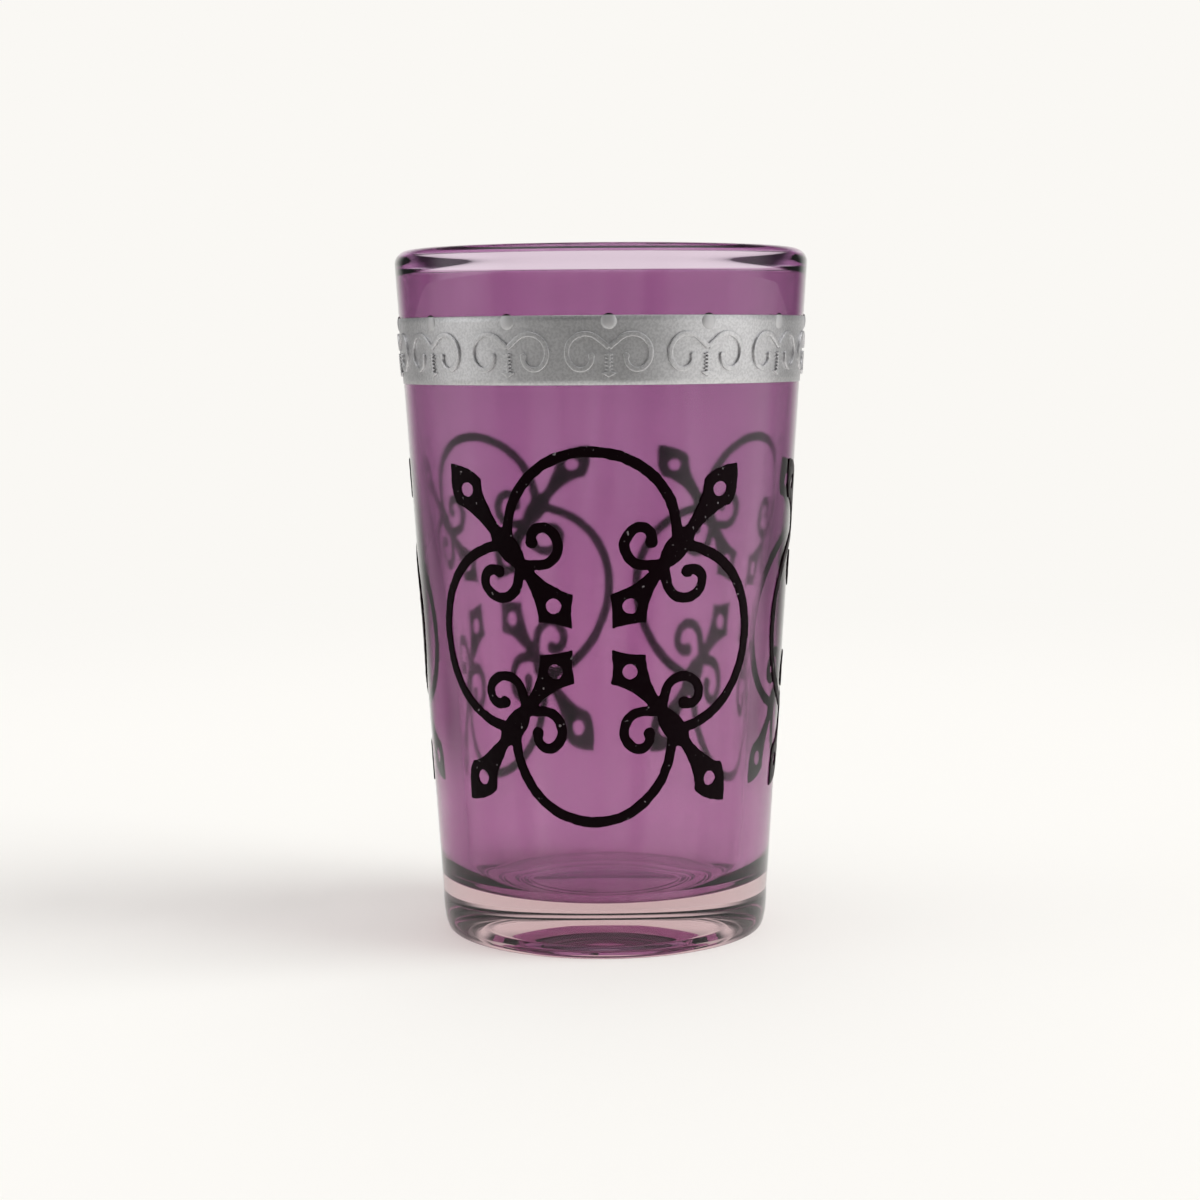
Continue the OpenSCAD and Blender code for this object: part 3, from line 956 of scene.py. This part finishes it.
def corner_of_ornament(o):
    """A knot with its two finials and two curls, in its place in the upper right corner."""
    turns = [math.radians(15 * i) for i in range(24)]
    knot = [(o.knot_len / 2 * math.cos(t), o.knot_w / 2 * math.sin(t)) for t in turns]
    parts = [slab(knot, SLAB_T)]
    outer = (o.outer_reach, o.outer_half_w, o.outer_hole)
    parts.append(finial(*outer, o.hole_r, OUTER_SHARES, SLAB_T))
    inner = (o.inner_reach, o.inner_half_w, o.inner_hole)
    inner = finial(*inner, o.hole_r, INNER_SHARES, SLAB_T)
    parts.append(placed(inner, Matrix.Rotation(math.pi, 4, "Z")))
    start = math.radians(CURL_ANGLES[0])
    lead = (o.curl_side - o.curl_r * math.sin(start)) / -math.cos(start)
    middle = (-o.curl_back, -o.curl_side)
    curls = curl_pieces(
        middle, o.curl_r, o.curl_end_r, CURL_ANGLES, lead, o.curl_line_w, o.ball_r, SLAB_T
    )
    parts += curls
    for part in curls:
        parts.append(placed(copy(part, "curl"), Matrix.Scale(-1, 4, (0, 1, 0))))
    corner = join("corner", parts)
    place = Matrix.Translation((o.knot_out, o.knot_up, 0))
    return placed(corner, place @ Matrix.Rotation(o.tilt, 4, "Z"))


class TEAGLASS_OT_ornaments(bpy.types.Operator):
    """Model the raised enamel ornament and lay a copy on each third of the wall"""

    bl_idname = "teaglass.ornaments"
    bl_label = "Ornaments"

    def execute(self, context):
        g, _, o, _ = settings()
        shape = Shape(g)
        corner = corner_of_ornament(o)
        pieces = [corner]
        for axes in (((1, 0, 0),), ((0, 1, 0),), ((1, 0, 0), (0, 1, 0))):
            twin = copy(corner, "corner")
            for axis in axes:
                placed(twin, Matrix.Scale(-1, 4, axis))
            pieces.append(twin)
        for middle, radius, angles in (
            ((0, o.reach - o.top_r), o.top_r, TOP_ARC),
            ((0, o.bottom_r - o.reach), o.bottom_r, BOTTOM_ARC),
            ((o.side_out, 0), o.side_r, SIDE_ARC),
        ):
            lobe = arc(middle, radius, *angles, LOBE_STEPS)
            pieces.append(slab(stroke(lobe, o.line_w), SLAB_T))
        pieces.append(placed(copy(pieces[-1], "side"), Matrix.Scale(-1, 4, (1, 0, 0))))
        flat = melt(join("ornament", pieces), *ORNAMENT_MELT, 0)
        finish = enamel_finish("black_enamel", tuple(o.enamel))
        reference = shape.wall_r(o.middle_z)
        noise.seed_set(HAND_SEED)
        for side, way in (("front", 0), ("right", 1), ("left", -1)):
            piece = copy(flat, f"enamel_{side}")
            turn = o.turn + way * o.spread + abs(way) * o.skew
            placed(piece, Matrix.Scale(o.relief / SLAB_T, 4, (0, 0, 1)))
            hand = (o.wander, way * HAND_APART)
            wrap(piece, shape, turn, o.middle_z, 0, SUNK, reference, hand)
            dress(piece, finish, "black_enamel", f"ornament_{side}")
        bpy.data.objects.remove(flat)
        return {"FINISHED"}


def floor_finish(s):
    """Pale floor that takes the shadow near the glass and turns into the backdrop further away.

    What the glass mirrors of it is dark, apart from the stretch behind the glass and those at
    the sides, as in a room where only the backdrop and the lamps are bright.
    """
    backdrop = tuple(s.backdrop)
    shader = Shader(bpy.data.materials.new("floor"))
    _, x, y, _ = shader.place()
    radius = (x * x + y * y) ** 0.5
    inside, outside = reflected(shader)
    far = y / radius
    wide = x / radius
    side = (wide.step(*RIGHT) + (wide * -1).step(*LEFT) * 0.5) * (1 - far.step(*FLOOR_FRONT))
    aside = inside * (1 - far.step(*FLOOR_BEHIND)) * 0.7
    aside = aside + outside * (1 - far.step(*FLOOR_BEHIND_MIRRORED)) * (1 - side) * 0.8
    lit = shader.add("ShaderNodeBsdfDiffuse", inputs={"Color": backdrop})
    plain = shader.add("ShaderNodeEmission", inputs={"Color": backdrop, "Strength": 1.0})
    dark = shader.add("ShaderNodeEmission", inputs={"Color": backdrop, "Strength": 0.1})
    seen = shader.blend(radius.step(*FLOOR_FADE), lit.outputs[0], plain.outputs[0])
    seen = shader.blend(aside * radius.step(*MIRROR_FADE), seen, dark.outputs[0])
    return shader.finish(seen)


def light_room(world, s):
    """A bright wall behind the glass, softer light from the sides and above, and a dark front."""
    backdrop = tuple(s.backdrop)
    room = Shader(world)
    clear = room.add("ShaderNodeBackground", inputs={"Color": backdrop, "Strength": 1.0})
    _, x, y, z = room.place("Generated")
    inside, outside = reflected(room)
    behind = y.step(*ROOM_BEHIND) * (1 - outside) + y.step(*ROOM_BEHIND_MIRRORED) * outside
    front = 1 - y.step(*ROOM_FRONT)
    sides = (x.step(*RIGHT) * 0.8 + (x * -1).step(*LEFT) * 1.2) * front
    above = z.step(*ABOVE) * 1.45
    glow = 0.08 + behind * 0.88 + (sides + above) * (1 - inside * 0.8)
    paint = room.mix(behind, CLEAR, backdrop)
    walls = room.add("ShaderNodeBackground", inputs={"Color": paint, "Strength": glow})
    path = room.add("ShaderNodeLightPath")
    light = room.blend(path.outputs["Is Camera Ray"], walls.outputs[0], clear.outputs[0])
    room.finish(light, "ShaderNodeOutputWorld")


class TEAGLASS_OT_stage(bpy.types.Operator):
    """Set up the floor, the light and the camera"""

    bl_idname = "teaglass.stage"
    bl_label = "Stage"

    def execute(self, context):
        _, _, _, s = settings()
        scene = context.scene
        deselect()
        bpy.ops.mesh.primitive_circle_add(
            vertices=96, radius=s.floor_r, fill_type="NGON", location=(0, 0, -FLOOR_DROP)
        )
        floor = context.object
        floor.name = "floor"
        bpy.ops.object.transform_apply(location=True, rotation=True, scale=True)
        floor.data.materials.append(floor_finish(s))

        scene.world = bpy.data.worlds.new("studio")
        light_room(scene.world, s)

        key = bpy.data.lights.new("key", "SUN")
        key.energy, key.angle = s.key, math.radians(KEY_ANGLE)
        lamp = bpy.data.objects.new("key", key)
        lamp.visible_glossy = lamp.visible_transmission = False
        scene.collection.objects.link(lamp)
        lamp.rotation_euler = Vector(KEY_FROM).to_track_quat("Z", "Y").to_euler()

        view = bpy.data.cameras.new("camera")
        view.sensor_width, view.lens = SENSOR_W, LENS
        view.clip_start, view.clip_end = 0.01, 20
        camera = bpy.data.objects.new("camera", view)
        scene.collection.objects.link(camera)
        turn = Matrix.Rotation(math.pi / 2 - s.pitch, 4, "X") @ Matrix.Rotation(-s.roll, 4, "Z")
        camera.matrix_world = Matrix.Translation((s.camera_x, s.camera_y, s.camera_z)) @ turn
        scene.camera = camera
        scene.view_settings.view_transform = "Standard"
        return {"FINISHED"}


STEPS = (
    TEAGLASS_OT_stage,
    TEAGLASS_OT_glass,
    TEAGLASS_OT_band,
    TEAGLASS_OT_relief,
    TEAGLASS_OT_dots,
    TEAGLASS_OT_ornaments,
)


class TEAGLASS_PT_panel(bpy.types.Panel):
    """The tea glass's sizes, colours and steps"""

    bl_label = "Tea glass"
    bl_space_type = "VIEW_3D"
    bl_region_type = "UI"
    bl_category = "Tea glass"

    def draw(self, context):
        for step in STEPS:
            self.layout.operator(step.bl_idname)
        for group in settings():
            box = self.layout.box()
            for name in group.__annotations__:
                box.prop(group, name)


GROUPS = (
    ("teaglass_glass", GlassSettings),
    ("teaglass_band", BandSettings),
    ("teaglass_ornament", OrnamentSettings),
    ("teaglass_stage", StageSettings),
)


def register():
    for name, group in GROUPS:
        bpy.utils.register_class(group)
        setattr(bpy.types.Scene, name, PointerProperty(type=group))
    for step in STEPS:
        bpy.utils.register_class(step)
    bpy.utils.register_class(TEAGLASS_PT_panel)


def unregister():
    bpy.utils.unregister_class(TEAGLASS_PT_panel)
    for step in reversed(STEPS):
        bpy.utils.unregister_class(step)
    for name, group in reversed(GROUPS):
        delattr(bpy.types.Scene, name)
        bpy.utils.unregister_class(group)


def plain(box):
    return [[float(v) for v in corner] for corner in box]


def main():
    register()
    for step in STEPS:
        area, _, name = step.bl_idname.partition(".")
        done = getattr(getattr(bpy.ops, area), name)()
        if done != {"FINISHED"}:
            raise RuntimeError(f"{step.bl_idname} did not finish")


if __name__ == "__main__":
    main()
